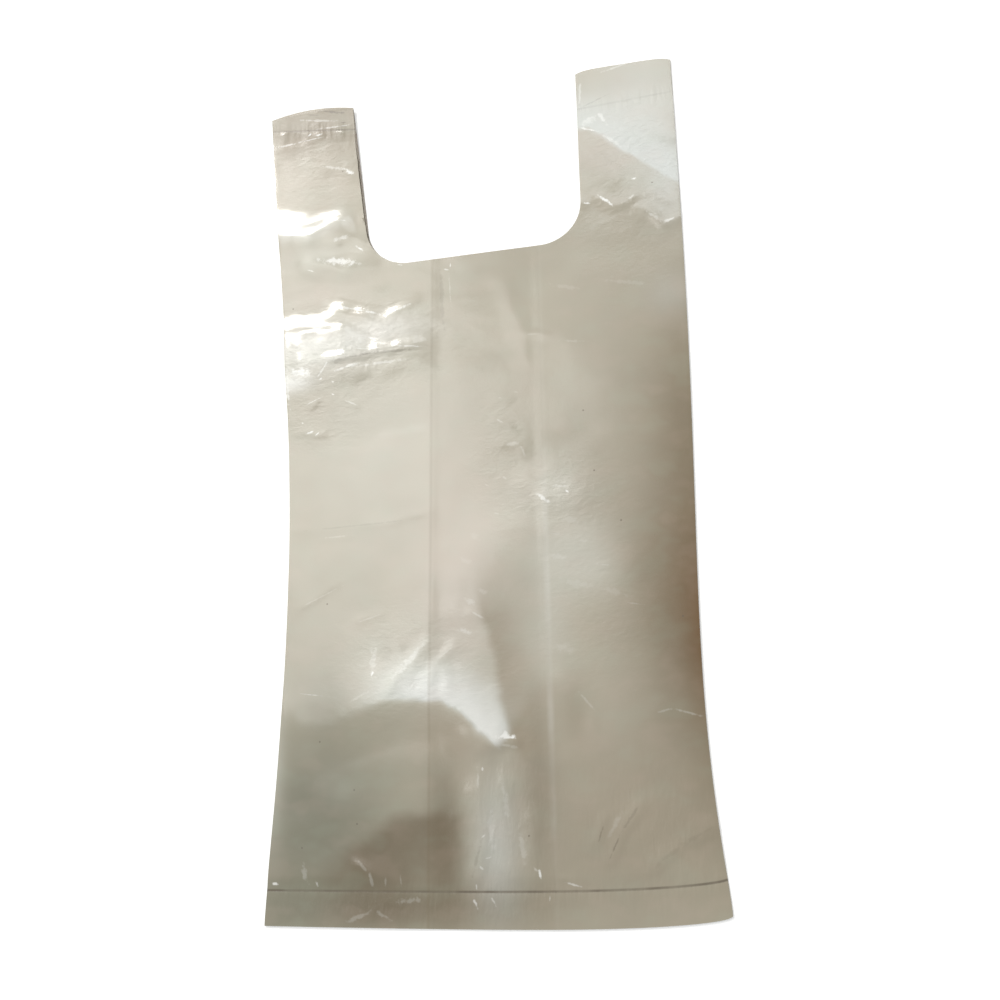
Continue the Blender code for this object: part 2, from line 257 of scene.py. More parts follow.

# Soft round patches of tone on the front, in millimetres: (colour, share, middle, reach). Most
# paint light. The pale, bluish and near-white patches are painted sheen, a painted reflection of a
# cool window and painted highlights. The warm, brown, umber, tan, orange and greenish ones are
# painted shade where the film catches no sheen, with the brown seen through the film at the bottom
# and the right edge. The pinkish and rosy ones are lighter tones of the film.
PATCHES = (
    (WARM, 0.8, (195, 190), (58, 120)),
    (WARM, 0.9, (170, 50), (56, 50)),
    (PINKISH, 0.5, (20, 372), (24, 20)),
    (PINKISH, 0.6, (16, 304), (30, 7)),
    (PAINTED_HIGHLIGHT, 0.75, (22, 275), (34, 11)),
    (PAINTED_HIGHLIGHT, 0.5, (14, 340), (20, 5)),
    (PAINTED_HIGHLIGHT, 0.45, (62, 281), (20, 9)),
    (PALE, 0.30, (60, 225), (50, 60)),
    (PALE, 0.35, (104, 150), (26, 50)),
    (PALE, 0.50, (72, 116), (30, 20)),
    (GREENISH, 0.95, (24, 46), (46, 44)),
    (GREENISH, 0.7, (15, 8), (40, 14)),
    (UMBER, 0.6, (64, 24), (22, 16)),
    (UMBER, 0.8, (58, 6), (28, 10)),
    (UMBER, 0.55, (105, 6), (30, 10)),
    (UMBER, 0.85, (86, 34), (8, 32)),
    (UMBER, 0.45, (129, 66), (8, 34)),
    (PALE, 0.55, (95, 128), (12, 22)),
    (PALE, 0.35, (97, 146), (12, 12)),
    (TAN, 0.5, (90, 80), (16, 10)),
    (PALE, 0.45, (157, 152), (14, 12)),
    (PALE, 0.6, (2, 78), (6, 36)),
    (PALE, 0.12, (168, 210), (26, 110)),
    (TAN, 0.35, (172, 358), (12, 12)),
    (BROWN, 0.4, (24, 404), (26, 5)),
    (BROWN, 0.22, (24, 384), (26, 14)),
    (GREENISH, 0.5, (32, 100), (20, 14)),
    (TAN, 0.85, (22, 398), (40, 17)),
    (UMBER, 0.42, (22, 396), (40, 18)),
    (ROSY, 0.3, (94, 158), (22, 56)),
    (PALE, 0.1, (150, 90), (40, 50)),
    (PALE, 0.15, (132, 170), (24, 46)),
    (PALE, 0.4, (26, 325), (24, 9)),
    (PAINTED_HIGHLIGHT, 0.8, (12, 258), (11, 5)),
    (PALE, 0.35, (150, 162), (16, 16)),
    (BLUISH, 0.5, (109, 32), (11, 30)),
    (PALE, 0.5, (143, 192), (14, 14)),
    (PALE, 0.25, (150, 168), (16, 10)),
    (BROWN, 0.5, (190, 135), (18, 50)),
    (BROWN, 0.9, (212, 132), (16, 85)),
    (ORANGE, 0.5, (204, 135), (14, 45)),
    (ORANGE, 0.9, (208, 120), (8, 26)),
    (BROWN, 0.45, (205, 225), (18, 50)),
    (BROWN, 0.22, (147, 88), (7, 15)),
    (BLUISH, 0.2, (202, 282), (12, 12)),
    (BLUISH, 0.45, (196, 378), (24, 30)),
    (BLUISH, 0.4, (204, 340), (10, 22)),
)

# Tones that end at a crease: (colour, share, reach on the left of the crease, reach on its right,
# fade at its start, fade at its end, points of the crease). Most paint light. The pale, bluish and
# near-white ones are painted sheen, painted reflection and painted highlights on the lit side of a
# crease. The tan and umber ones are painted shade, with the brown seen through the film. The
# pinkish ones are a slightly lighter, warmer tone.
STREAKS = (
    (PALE, 0.6, 20, 4, 12, 12, ((-30, 268.5), (20, 268), (48, 270))),
    (PALE, 0.5, 16, 5, 8, 8, ((-12, 343), (8, 340), (20, 337.5), (32, 341), (46, 345))),
    (PALE, 0.6, 34, 4, 24, 6,
     ((36, 92), (50, 97), (62, 99), (74, 99), (86, 98.5), (97, 92), (106, 82), (114, 76))),
    (BLUISH, 0.8, 24, 2, 30, 5,
     ((46, 96), (62, 98.5), (74, 98.5), (86, 98.5), (97, 92), (106, 82), (114, 76))),
    (PAINTED_HIGHLIGHT, 0.65, 20, 1, 26, 5,
     ((60, 98), (74, 98.5), (86, 98.5), (97, 92), (106, 82), (114, 76))),
    (PALE, 0.35, 15, 20, 20, 20, ((136, 98), (136.5, 140), (137, 178))),
    (PALE, 0.5, 4, 3, 6, 6, ((57, 102), (70, 115.5), (82, 128))),
    (TAN, 0.7, 18, 5, 22, 6,
     ((105, 156), (108, 134), (112, 115), (116, 94), (121, 78), (126, 66))),
    (UMBER, 0.8, 9, 34, 26, 14, ((24, 14), (46, 30), (62, 41), (84, 44), (98, 42))),
    (PINKISH, 0.3, 2, 9, 16, 16, ((119, 306), (127, 277), (135, 240))),
    (PALE, 0.2, 4, 4, 6, 6, ((54, 227), (84, 227))),
    (BLUISH, 0.7, 30, 2, 6, 6,
     ((154, 377), (166, 376), (174, 371), (182, 362), (195, 350), (220, 334))),
    (PINKISH, 0.5, 1, 24, 6, 6, ((154, 377), (166, 376), (174, 371), (182, 362), (190, 352))),
)

# Where the film is crumpled most, in millimetres: (share, middle, reach)
CRUMPLED = (
    (0.3, (24, 372), (34, 40)),
    (0.9, (36, 270), (50, 24)),
    (0.4, (24, 235), (28, 16)),
    (0.6, (74, 114), (34, 26)),
    (0.5, (118, 215), (16, 34)),
    (0.7, (143, 190), (16, 12)),
    (0.7, (186, 345), (30, 44)),
    (0.6, (112, 34), (20, 42)),
    (0.35, (152, 185), (22, 34)),
    (0.25, (160, 130), (30, 30)),
    (0.5, (60, 6), (60, 10)),
    (0.4, (180, 30), (30, 30)),
)

# Small strokes on the front, in millimetres: (share, half length, half width, turn in degrees,
# middle). Painted glints and painted highlights along creases:
GLINTS = (
    # Left handle
    (0.3, 13, 0.7, -10, (26, 402)),
    (0.4, 10, 0.6, -1, (34.4, 397.1)),
    (0.9, 1.6, 0.7, 48, (21.1, 395)),
    (0.9, 2.4, 0.9, 17, (26, 394)),
    (0.5, 7, 0.7, 4, (8.2, 390.6)),
    (0.45, 8, 0.5, 4, (21, 391.8)),
    (0.35, 7, 1.2, -15, (35, 373.4)),
    (0.9, 4.5, 1.3, -33, (42.8, 369.8)),
    (0.5, 9, 0.5, -8, (34, 343.8)),
    (0.45, 7, 1.6, 9, (38, 333.2)),
    (0.9, 3, 0.9, -35, (47.8, 326.6)),
    (0.8, 12, 2.6, -14, (36, 321)),
    (0.5, 3, 0.5, -23, (22.4, 317.3)),
    (0.6, 2.3, 0.5, -15, (68.4, 315)),
    (0.6, 1.6, 0.5, -92, (94.8, 311.2)),
    (0.5, 1.6, 0.5, -21, (92.8, 309)),
    (0.22, 10, 0.6, -88, (94.2, 299)),
    # Upper left of the body
    (0.6, 9, 0.9, -16, (41, 295)),
    (0.8, 7, 1.2, -21, (54, 291)),
    (0.7, 8, 1.0, 17, (67, 291)),
    (0.5, 4, 0.6, -22, (53.8, 277.2)),
    (0.6, 8, 1.0, 14, (42, 263.2)),
    (0.4, 14, 1.1, 3, (60, 263.4)),
    (0.6, 6, 0.5, -8, (50.8, 271.6)),
    (0.6, 8, 0.5, -7, (73, 270.6)),
    (0.95, 7, 2.8, -8, (16.4, 262.6)),
    (0.6, 13, 1.2, -86, (9.9, 255.5)),
    (0.7, 1.5, 0.6, 24, (27.5, 258.2)),
    (0.6, 1.4, 0.6, -30, (34, 256.1)),
    (0.6, 1.2, 0.5, -21, (33.5, 249.9)),
    (0.5, 6, 0.6, 54, (28.9, 263.1)),
    (0.4, 5, 0.5, 21, (24.1, 247.3)),
    (0.4, 6, 0.5, -27, (43.1, 244.4)),
    (0.9, 3, 0.6, 18, (21.8, 231.6)),
    (0.8, 1.5, 0.5, 36, (25.4, 230.5)),
    (0.5, 0.9, 0.5, -24, (17.6, 236.7)),
    # Left middle
    (0.14, 9, 0.6, 1, (35.5, 177.9)),
    (0.14, 13, 0.5, 23, (27, 149)),
    (0.14, 7, 0.5, 16, (51, 137)),
    (0.4, 13, 2.2, 45, (69.8, 115.2)),
    (0.25, 9, 2.4, 86, (53.2, 117.2)),
    (0.9, 1.4, 0.5, 62, (52.6, 111)),
    (0.16, 7, 0.9, 25, (46.5, 100.8)),
    (0.16, 6, 0.6, 34, (88.6, 119)),
    (0.27, 4, 0.7, -31, (103.2, 135.1)),
    (0.28, 4, 1.6, -16, (97.1, 128.1)),
    (0.22, 3.4, 1.8, -30, (100, 141.6)),
    (0.08, 3.6, 1.8, -24, (99, 161)),
    (0.07, 3.6, 1.8, -28, (103.5, 172)),
    (0.12, 3, 1.4, -20, (106, 146)),
    (1, 6, 1.7, -4, (115.8, 78.6)),
    (0.8, 2.6, 1.6, -92, (115.3, 80)),
    (0.16, 5.5, 0.9, -10, (115.8, 74.8)),
    (0.23, 9, 0.3, -9, (22.7, 102.8)),
    # Centre and right of the body
    (0.2, 2, 0.7, -15, (117.7, 239.1)),
    (0.11, 2, 0.6, -10, (126, 241.2)),
    (0.23, 4, 0.6, -32, (117.5, 227.4)),
    (0.18, 3.6, 1.1, 3, (123.2, 215.6)),
    (0.18, 4.2, 0.8, -71, (127.8, 211.9)),
    (0.18, 1.8, 0.6, -41, (118.5, 199.4)),
    (0.16, 1.7, 0.6, -35, (109.8, 196.7)),
    (0.27, 4.2, 1.1, -5, (144.6, 192.8)),
    (0.9, 1.4, 0.7, -42, (148.1, 190.2)),
    (0.7, 4, 1.2, -38, (136.8, 187.6)),
    (0.14, 1.7, 0.6, -15, (114.3, 182.3)),
    (0.11, 4, 0.8, -10, (141.7, 170.2)),
    (0.11, 4, 0.8, -10, (154.4, 165.9)),
    (0.09, 10, 1.4, -14, (151.8, 292)),
    (0.09, 14, 1.2, -12, (180.6, 290.8)),
    (0.11, 4, 0.5, -5, (134.4, 269.6)),
    (0.1, 8, 0.8, -8, (154.4, 263.7)),
    (0.14, 5, 0.6, -10, (163.5, 154)),
    (0.14, 5, 2.2, -10, (142.5, 159.5)),
    (0.1, 10, 2.2, -14, (151, 146)),
    (0.1, 7, 2.6, -12, (144, 117)),
    (0.1, 6, 2, -14, (150, 176)),
    (0.08, 7, 1.8, -18, (168, 141)),
    (0.11, 4, 0.5, -12, (177, 135)),
    (0.14, 7, 0.7, -51, (152.4, 93)),
    (0.14, 4, 0.6, 11, (187.4, 86.8)),
    (0.18, 7.5, 0.7, -18, (197.4, 85.2)),
    # Right handle
    (0.28, 12, 0.8, 12, (185, 407)),
    (0.3, 9, 0.8, 86, (164, 396)),
    (0.48, 5, 1.5, -60, (174.5, 379.5)),
    (0.32, 5, 3.0, 30, (168, 379)),
    (0.7, 6, 0.8, -22, (167, 374.6)),
    (0.32, 8, 1.2, -42, (178, 367)),
    (0.95, 2.6, 0.7, -8, (164.8, 334.4)),
    (0.9, 5.5, 1.1, -44, (174, 334.5)),
    (0.4, 3, 0.8, 30, (187, 334.6)),
    (0.9, 1.8, 0.7, 12, (188.5, 344.3)),
    (0.36, 6, 1.1, -43, (196.5, 323)),
    (0.48, 5, 0.9, 14, (204.5, 320)),
    # Bottom
    (0.8, 2.4, 0.8, 4, (5, 18.1)),
    (0.16, 6, 1.6, -78, (19.6, 21.8)),
    (0.4, 1.8, 0.8, -63, (25.2, 17.5)),
    (0.12, 5, 0.8, -48, (47.4, 24.4)),
    (0.16, 4, 0.9, -76, (51, 18.9)),
    (0.12, 2.2, 0.6, -90, (57.7, 17.5)),
    (0.12, 3, 0.7, -86, (64.8, 18.5)),
    (0.15, 13, 2, -88, (107, 38)),
    (0.13, 9, 1.6, -80, (121, 30)),
    (0.14, 11, 1.6, -84, (114, 50)),
    (0.49, 1.4, 0.6, -88, (104, 65)),
    (0.17, 4, 0.6, -92, (101.8, 60.5)),
    (0.35, 1.7, 0.5, 36, (103.8, 36.2)),
    (0.42, 2, 0.6, 8, (105, 26.6)),
    (0.35, 1.8, 0.6, -45, (102, 22.6)),
    (0.42, 1.6, 0.5, -92, (99.5, 14.7)),
    (0.8, 2.2, 0.8, -79, (128.3, 19)),
    (0.24, 3, 0.8, -51, (126.3, 21.2)),
    (0.42, 5, 0.6, -16, (143.1, 14.2)),
    (0.49, 3, 0.8, -67, (98.6, 7.9)),
    (0.35, 2.8, 0.8, -58, (107, 8.1)),
    (0.35, 2, 0.4, -93, (132.1, 9)),
    (0.14, 8, 1.6, 5, (68.7, 9.3)),
    (0.14, 8, 1.3, 20, (45, 3)),
    (0.14, 5, 1.2, -30, (57, 3.1)),
    (0.1, 8, 1.4, 57, (161.8, 38)),
)

# Painted thin shadows, and painted shade in creases:
SHADOWS = (
    # Left handle
    (0.7, 10, 0.8, -13, (34, 405.5)),
    (0.35, 5, 0.6, -13, (23, 405.5)),
    (0.6, 6, 0.35, -1, (39.5, 398.7)),
    # Upper left of the body
    (0.2, 20, 1.5, -88, (90, 293)),
    (0.2, 6, 1.3, 18, (37, 266.5)),
    (0.25, 9, 1.0, 5, (50, 268.8)),
    (0.3, 12, 0.9, 0, (66, 269)),
    # Left middle
    (0.12, 34, 0.5, 1, (47, 182.6)),
    # Right handle
    (0.2, 9, 0.5, 20, (172, 390)),
    # Bottom
    (0.2, 10, 0.9, 73, (100.2, 26.5)),
    (0.4, 5, 0.5, 69, (155.8, 34.7)),
    (0.45, 7, 0.5, 63, (161.9, 29.8)),
    (0.25, 8, 0.8, 53, (169.2, 41.2)),
    (0.12, 8, 1.5, 37, (185, 25.4)),
    (0.12, 9, 1.3, 27, (197, 32.7)),
)

# A stroke fades out at this many times its half length and half width. The mesh keeps the places
# along and across a stroke for this far past it, in millimetres.
STROKE_EDGE = 1.3
STROKE_REACH = 2.3

# Specks in the film, in millimetres from the left side and the bottom
SPECKS = (
    (18.1, 33.6), (43.2, 58.4), (44.5, 43.3), (26.7, 80.9), (124.0, 35.4), (161.3, 198.9),
    (157.6, 228.6), (197.0, 340.8), (39.0, 370.7), (197.7, 127.9), (172.5, 174.1), (30.2, 145.4),
    (12.0, 298.2),
)
SPECK_RADIUS = 0.0006

# How strongly the inner folds of the gussets show on the front: the browner band between them, the
# painted shade line at the left fold and the painted highlight strip at the right one
CENTRE_SHARE = 0.07
LEFT_FOLD_SHADE_SHARE = 0.16
RIGHT_FOLD_HIGHLIGHT_SHARE = 0.15

# Relief too fine for the mesh, in metres
GRAIN_HEIGHT = 0.00006
CREASE_DEPTH = 0.001
TUCK_HEIGHT = 0.00026
WELD_GROOVE = 0.00006

# Gloss of the film, which is a little uneven
ROUGHNESS_LOW = 0.30
ROUGHNESS_HIGH = 0.40
FILM_IOR = 1.51
COAT_WEIGHT = 0.8
COAT_ROUGHNESS = 0.13
COAT_IOR = 1.5


def ease(value):
    """Rises smoothly from 0 to 1 as the value does."""
    value = np.clip(value, 0.0, 1.0)
    return value * value * (3 - 2 * value)


def bow(share, size, place, power):
    """A single rounded bulge along a run from 0 to 1, highest at place."""
    share = np.clip(share, 0.0, 1.0)
    shifted = share ** (math.log(0.5) / math.log(place))
    return size * np.maximum(np.sin(math.pi * shifted), 0.0) ** power


def side_lines(y):
    """Where the left side, right side, left inner fold and right inner fold are at this y."""
    share = y / BAG_LENGTH
    return (
        LEFT + bow(share, *LEFT_WAIST),
        RIGHT - bow(share, *RIGHT_WAIST),
        LEFT + LEFT_GUSSET_DEPTH + LEFT_GUSSET_LEAN * share,
        RIGHT - RIGHT_GUSSET_DEPTH + RIGHT_GUSSET_LEAN * share,
    )


def top_edge(x):
    """How far the top of each handle rises above a straight cut."""
    left_offset = np.abs(x - LEFT - LEFT_HANDLE_TOP / 2) / (LEFT_HANDLE_TOP / 2)
    right_offset = np.abs(RIGHT - RIGHT_HANDLE_TOP / 2 - x) / (RIGHT_HANDLE_TOP / 2)
    left_rise = LEFT_HANDLE_CROWN * (1 - np.minimum(left_offset, 1) ** 2)
    right_rise = RIGHT_HANDLE_CROWN * (1 - np.minimum(right_offset, 1) ** 6)
    return np.where(x < 0, left_rise, right_rise)


def bowed(x, y):
    """The y of a point of the film once its cut edges are bowed."""
    bottom_edge = -bow((x - LEFT) / LAY_FLAT_WIDTH, *BOTTOM_SAG)
    near_bottom = ease(1 - y / BOW_REACH)
    near_top = ease(1 - (BAG_LENGTH - y) / BOW_REACH)
    return y + bottom_edge * near_bottom + top_edge(x) * near_top


def weld_gap(x, y, place_y):
    """How far a point is from the nearest weld, more than 0 on the side of the bag's middle."""
    left_line = BAG_LENGTH - LEFT_WELD_INSET - LEFT_WELD_SLANT * (x - LEFT) / LEFT_HANDLE_TOP
    right_line = BAG_LENGTH - RIGHT_WELD_INSET - RIGHT_WELD_SLANT * (x - RIGHT) / RIGHT_HANDLE_TOP
    top_line = np.where(x < 0, left_line, right_line)
    return np.where(y < BAG_LENGTH / 2, y - BOTTOM_WELD_INSET, top_line - place_y)


def wave(x, y, length_x, length_y, seed):
    """Smooth noise between about -1 and 1, with swells of these lengths."""
    places = zip(x.ravel() / length_x, y.ravel() / length_y)
    values = [noise.noise(Vector((a, b, seed))) for a, b in places]
    return np.array(values).reshape(x.shape) * 1.4


def patch(x, y, middle, reach):
    """A soft round patch, 1 in the middle and 0 well outside its reach."""
    across = (x - middle[0]) / reach[0]
    along = (y - middle[1]) / reach[1]
    return np.exp(-(across * across + along * along))


def along_crest(x, y, crest):
    """Each point's distance from a crest, side and place along it, and the crest's length."""
    nearest = np.full(x.shape, np.inf)
    side = np.ones(x.shape)
    travelled = np.zeros(x.shape)
    start = 0.0
    for (ax, ay), (bx, by) in zip(crest, crest[1:]):
        run_x, run_y = bx - ax, by - ay
        length = math.hypot(run_x, run_y)
        share = np.clip(((x - ax) * run_x + (y - ay) * run_y) / length**2, 0.0, 1.0)
        off_x, off_y = x - ax - share * run_x, y - ay - share * run_y
        distance = np.hypot(off_x, off_y)
        closer = distance < nearest
        nearest = np.where(closer, distance, nearest)
        side = np.where(closer, np.sign(run_x * off_y - run_y * off_x), side)
        travelled = np.where(closer, start + share * length, travelled)
        start += length
    return nearest, side, travelled, start


def fold(x, y, section, height, left_reach, right_reach, fade_in, fade_out, crest):
    """The height of one fold over the film round it, in millimetres."""
    distance, side, travelled, length = along_crest(x, y, crest)
    reach = np.where(side > 0, left_reach, right_reach)
    rise = np.clip(1 - distance / reach, 0.0, 1.0)
    if section == SHARP:
        rise = rise * rise
    elif section == SOFT:
        rise = ease(rise)
    ends = np.clip(np.minimum(travelled / fade_in, (length - travelled) / fade_out), 0.0, 1.0)
    return height * rise * ends


def crinkles(x, y, height, across, along, turn, seed, middle, reach):
    """Sharp little ridges that run one way, in one part of the film."""
    angle = math.radians(turn)
    drift = 4 * wave(x, y, 40, 40, seed + 20)
    over = x * math.cos(angle) + y * math.sin(angle) + drift
    down = -x * math.sin(angle) + y * math.cos(angle)
    ridge = 1 - np.abs(wave(over, down, across, along, seed)) * 2
    return height * np.maximum(ridge, 0) ** 2 * patch(x, y, middle, reach)


def strayed(x, y):
    """Places moved a little from side to side, so that straight runs wander."""
    away_x = sum(size * wave(x, y, length, length, seed) for size, length, seed in WANDER)
    away_y = sum(size * wave(x, y, length, length, seed + 1.5) for size, length, seed in WANDER)
    return x + away_x, y + away_y


def relief(x, y, gap):
    """How far the front film stands above the layer under it, in millimetres."""
    stray_x, stray_y = strayed(x, y)
    total = sum(fold(stray_x, stray_y, *one) for one in FOLDS)
    total = total + sum(height * wave(x, y, *rest) for height, *rest in SWELLS)
    total = total + sum(crinkles(x, y, *one) for one in CRINKLES)
    total = total + FRONT_SLACK / MM
    total = SETTLE * np.logaddexp(0, total / SETTLE)
    from_weld = np.abs(gap)
    pucker = PUCKER_HEIGHT * np.maximum(wave(x, y, *PUCKER_WAVES), 0)
    pucker = pucker * np.exp(-from_weld / PUCKER_REACH)
    press = np.where(y > HANDLE_START, HANDLE_PRESS, np.where(gap < 0, FLAP_PRESS, BODY_PRESS))
    return total * ease(from_weld / press) + pucker * ease(from_weld / PUCKER_EDGE)


def ring_places():
    """The points round the tube: (from line, to line, share of the way, turn, layer)."""
    left, right, inner_left, inner_right = range(4)

    def run(start, end, shares, layer, inwards):
        return [(start, end, t, inwards * (1 - 2 * t), layer) for t in shares]

    def back_again(shares):
        return [1 - t for t in reversed(shares)]

    def turn(line, outwards, from_layer, to_layer):
        angles = [math.pi * i / 4 for i in (1, 2, 3)]
        return [
            (line, line, 0.0, outwards * (math.sin(a) - 1),
             from_layer + (to_layer - from_layer) * (1 - math.cos(a)) / 2)
            for a in angles
        ]

    return (
        run(left, right, BACK_COLUMNS, 0, 1)
        + turn(right, 1, 0, 1)
        + run(right, inner_right, RIGHT_GUSSET_COLUMNS, 1, -1)
        + turn(inner_right, -1, 1, 2)
        + run(inner_right, right, back_again(RIGHT_GUSSET_COLUMNS), 2, 1)
        + turn(right, 1, 2, 3)
        + run(right, left, FRONT_COLUMNS, 3, -1)
        + turn(left, -1, 3, 2)
        + run(left, inner_left, LEFT_GUSSET_COLUMNS, 2, 1)
        + turn(inner_left, 1, 2, 1)
        + run(inner_left, left, back_again(LEFT_GUSSET_COLUMNS), 1, -1)
        + turn(left, -1, 1, 0)
    )


def row_places():
    """Distances of the rows from the bottom cut, closer together round the welds."""
    rows = [0.0]
    while rows[-1] < BAG_LENGTH:
        y = rows[-1]
        near_weld = abs(y - BOTTOM_WELD_INSET) < 0.006 or y > BAG_LENGTH - 0.022
        rows.append(y + (FINE_ROW_STEP if near_weld else ROW_STEP))
    return np.array(rows) * BAG_LENGTH / rows[-1]


def fillet(before, corner, after, radius, steps):
    """The arc that rounds one corner of an outline, as a list of points."""
    to_before = (np.array(before) - corner) / np.linalg.norm(np.array(before) - corner)
    to_after = (np.array(after) - corner) / np.linalg.norm(np.array(after) - corner)
    half_angle = math.acos(float(to_before @ to_after)) / 2
    bisector = (to_before + to_after) / np.linalg.norm(to_before + to_after)
    centre = np.array(corner) + bisector * radius / math.sin(half_angle)
    reach = radius / math.tan(half_angle)
    first = np.array(corner) + to_before * reach - centre
    last = np.array(corner) + to_after * reach - centre
    start = math.atan2(first[1], first[0])
    sweep = (math.atan2(last[1], last[0]) - start + math.pi) % (2 * math.pi) - math.pi
    angles = [start + sweep * i / steps for i in range(steps + 1)]
    return [tuple(centre + radius * np.array((math.cos(a), math.sin(a)))) for a in angles]


def mouth_outline():
    """The U cut through all layers, from above the left handle round to above the right one."""
    top_y = BAG_LENGTH + MOUTH_RISE
    rise = top_y - MOUTH_Y
    left_run = (LEFT_HANDLE_TOP - LEFT_HANDLE_FOOT) / MOUTH_DEPTH
    right_run = (RIGHT_HANDLE_TOP - RIGHT_HANDLE_FOOT) / MOUTH_DEPTH
    left_foot = (LEFT + LEFT_HANDLE_FOOT, MOUTH_Y)
    right_foot = (RIGHT - RIGHT_HANDLE_FOOT, MOUTH_Y)
    left_top = (left_foot[0] + left_run * rise, top_y)
    right_top = (right_foot[0] - right_run * rise, top_y)
    left_corner = fillet(left_top, left_foot, right_foot, MOUTH_CORNER_RADIUS, MOUTH_CORNER_STEPS)
    right_corner = fillet(
        left_foot, right_foot, right_top, MOUTH_CORNER_RADIUS, MOUTH_CORNER_STEPS
    )
    return [left_top] + left_corner + right_corner + [right_top]


def inside(x, y, outline):
    """Whether each point lies inside a closed outline."""
    crossings = np.zeros(x.shape, dtype=int)
    for (ax, ay), (bx, by) in zip(outline, outline[1:] + outline[:1]):
        spans = (ay > y) != (by > y)
        if ay != by:
            crossing_x = ax + (y - ay) * (bx - ax) / (by - ay)
            crossings += spans & (x < crossing_x)
    return crossings % 2 == 1


def onto_outline(x, y, outline):
    """The nearest places on an open outline."""
    nearest = np.full(x.shape, np.inf)
    near_x, near_y = x.copy(), y.copy()
    for (ax, ay), (bx, by) in zip(outline, outline[1:]):
        run_x, run_y = bx - ax, by - ay
        share = np.clip(((x - ax) * run_x + (y - ay) * run_y) / (run_x**2 + run_y**2), 0, 1)
        on_x, on_y = ax + share * run_x, ay + share * run_y
        distance = np.hypot(x - on_x, y - on_y)
        closer = distance < nearest
        nearest = np.where(closer, distance, nearest)
        near_x, near_y = np.where(closer, on_x, near_x), np.where(closer, on_y, near_y)
    return near_x, near_y


def cut_mouth(x, y, layer):
    """Marks the cells of film that stay, and moves the points beside the cut onto it."""
    outline = mouth_outline()
    next_x, next_y = np.roll(x, -1, axis=1), np.roll(y, -1, axis=1)
    middle_x = (x[:-1] + x[1:] + next_x[:-1] + next_x[1:]) / 4
    middle_y = (y[:-1] + y[1:] + next_y[:-1] + next_y[1:]) / 4
    stays = ~inside(middle_x, middle_y, outline)
    touches_stay = np.zeros(x.shape, dtype=bool)
    touches_gone = np.zeros(x.shape, dtype=bool)
    for rows in (slice(None, -1), slice(1, None)):
        for shift in (0, 1):
            touches_stay[rows] |= np.roll(stays, shift, axis=1)
            touches_gone[rows] |= np.roll(~stays, shift, axis=1)
    edge = touches_stay & touches_gone
    edge_x, edge_y = onto_outline(x[edge], y[edge], outline)
    above_foot = np.clip((edge_y - MOUTH_Y) / 0.03, 0, 1)
    below_top = np.clip((BAG_LENGTH - edge_y) / 0.02, 0, 1)
    layers = np.broadcast_to(layer, x.shape)[edge]
    in_front = np.clip(layers - 1.5, 0, 1.5) / 1.5
    step_back = SET_BACK * above_foot * below_top * in_front * (edge_x < 0)
    x[edge], y[edge] = edge_x - step_back, edge_y
    return stays


def levels(x, y, place_y, layer):
    """The height of the middle of the film at each point."""
    gap = weld_gap(x, y, place_y)
    pitch = WELDED_PITCH + (PITCH - WELDED_PITCH) * ease(np.abs(gap) / WELD_PINCH_REACH)
    across, along = (x - LEFT) / MM, place_y / MM
    low = FILM / 2 + BACK_LIFT * MM * np.maximum(wave(across, along, *BACK_WAVES), 0) ** 2
    near_tip = np.clip(1 - (BAG_LENGTH / MM - along) / TIP_LENGTH, 0, 1) * (x < 0)
    low = low + TIP_LIFT * MM * near_tip**2
    lines = side_lines(y)
    past_left = ease((x - lines[2] - DIP_CLEARANCE) / DIP_RUN)
    past_right = ease((lines[3] - DIP_CLEARANCE - x) / DIP_RUN)
    front = low + pitch * (3 - CENTRE_DIP * past_left * past_right)
    upper = layer > 2
    raised = np.zeros(x.shape)
    raised[:, upper] = relief(across[:, upper], along[:, upper], gap[:, upper]) * MM
    from_side = np.minimum(x - lines[0], lines[1] - x)
    raised *= SIDE_SHARE + (1 - SIDE_SHARE) * ease(from_side / SIDE_REACH)
    raised *= np.where(gap < 0, FLAP_SHARE, 1.0)
    gusset_front = low + 2 * pitch
    between = gusset_front + (front + raised - gusset_front) * ease(ease(layer - 2))
    return np.where(layer > 2, between, low + layer * pitch), gap


def stroke_points(stroke):
    """Points along the middle of a stroke."""
    _, half_length, _, turn, middle = stroke
    reach = STROKE_EDGE * half_length
    run_x, run_y = math.cos(math.radians(turn)), math.sin(math.radians(turn))
    steps = np.linspace(-1, 1, 9)
    return [(middle[0] + t * reach * run_x, middle[1] + t * reach * run_y) for t in steps]


def too_close(first, second):
    """Whether two strokes are too near each other for their values to share one layer."""
    room = STROKE_EDGE * (first[2] + second[2]) + 4 * STROKE_REACH
    pairs = ((a, b) for a in stroke_points(first) for b in stroke_points(second))
    return any(math.dist(a, b) < room for a, b in pairs)


def deal_out(strokes):
    """Sorts strokes into layers, so that no two strokes in a layer are close."""
    layers = []
    for stroke in strokes:
        free = [one for one in layers if not any(too_close(stroke, other) for other in one)]
        if free:
            free[0].append(stroke)
        else:
            layers.append([stroke])
    return layers


GLINT_LAYERS = deal_out(GLINTS)
SHADOW_LAYERS = deal_out(SHADOWS)


